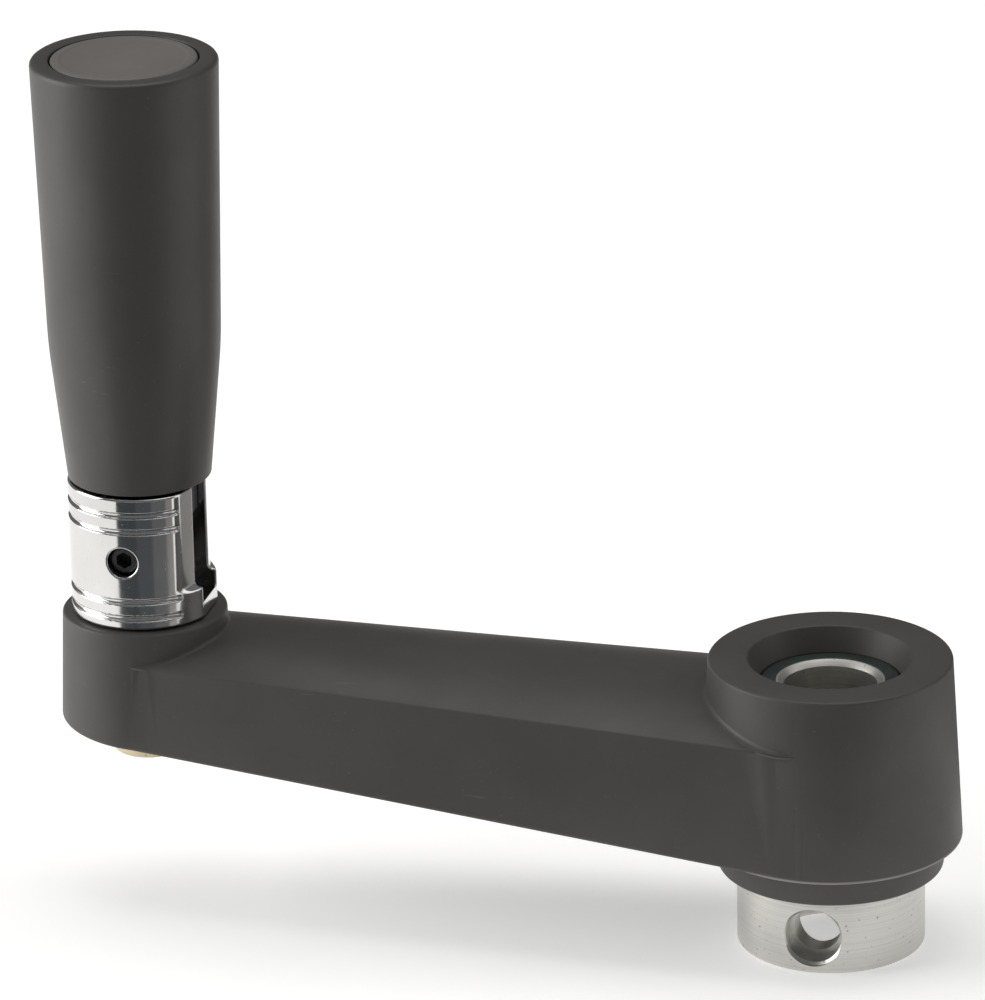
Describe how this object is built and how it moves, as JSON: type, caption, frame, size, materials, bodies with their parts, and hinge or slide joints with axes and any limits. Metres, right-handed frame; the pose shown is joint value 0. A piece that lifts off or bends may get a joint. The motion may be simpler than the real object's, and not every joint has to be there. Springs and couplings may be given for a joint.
{
  "type": "crank handle with fold-away revolving grip",
  "caption": "Black plastic crank arm with a steel hub bush and a fold-away revolving grip on a chrome-plated fork.",
  "frame": {"origin": "on the hub bush's bore axis, at the bush's lower face", "axes": "+Z along the bore, up towards the hub's top and parallel to the upright grip; the grip stands at -X; the arm lies along X"},
  "size_m": [0.1583, 0.0448, 0.1498],
  "materials": {
    "black_plastic": "fine moulded texture, matte black-grey",
    "black_cap": "fine moulded texture, matte, slightly lighter",
    "black_coated_steel": "black coated, satin",
    "turned_steel": "turned, fine circular tool marks",
    "spring_steel": "drawn wire and blued strip",
    "zinc_plate": "bright zinc plated",
    "chrome_plate": "polished chrome plate on a die casting",
    "bronze": "sintered bronze",
    "yellow_zinc_plate": "yellow zinc plated steel",
    "thrust_polymer": "natural acetal"
  },
  "bodies": {
    "arm": {"crank_arm": "black_plastic", "hub_bush": "turned_steel", "fork_body": "chrome_plate", "fork_stud": "yellow_zinc_plate", "sleeve_nut": "yellow_zinc_plate", "nut_washer": "zinc_plate", "compression_sleeve": "turned_steel", "locating_dowel": "turned_steel", "pivot_pin": "black_coated_steel"},
    "plunger": {"detent_plunger": "turned_steel", "detent_spring": "spring_steel"},
    "handle": {"handle_tongue": "black_coated_steel", "pivot_bush": "bronze", "handle_spindle": "turned_steel", "spindle_lock_pin": "zinc_plate"},
    "grip": {"grip_sleeve": "black_plastic", "grip_lower_bush": "bronze", "grip_upper_bush": "bronze", "thrust_washer": "thrust_polymer", "head_washer": "zinc_plate", "wave_washer": "spring_steel", "end_cap": "black_cap"}
  },
  "joints": [
    {"name": "plunger_slide", "type": "slide", "parent": "arm", "child": "plunger", "axis": [0, 0, 1], "range_m": [-0.001, 0], "stiffness_N_per_m": 2000, "springref_m": 0.002, "deforming": ["detent_spring"]},
    {"name": "fold", "type": "hinge", "parent": "arm", "child": "handle", "pos_m": [-0.12, 0, 0.0637], "axis": [0, 1, 0], "range_deg": [0, 90]},
    {"name": "grip_spin", "type": "hinge", "parent": "handle", "child": "grip", "pos_m": [-0.12, 0, 0.0757], "axis": [0, 0, 1], "continuous": true}
  ]
}
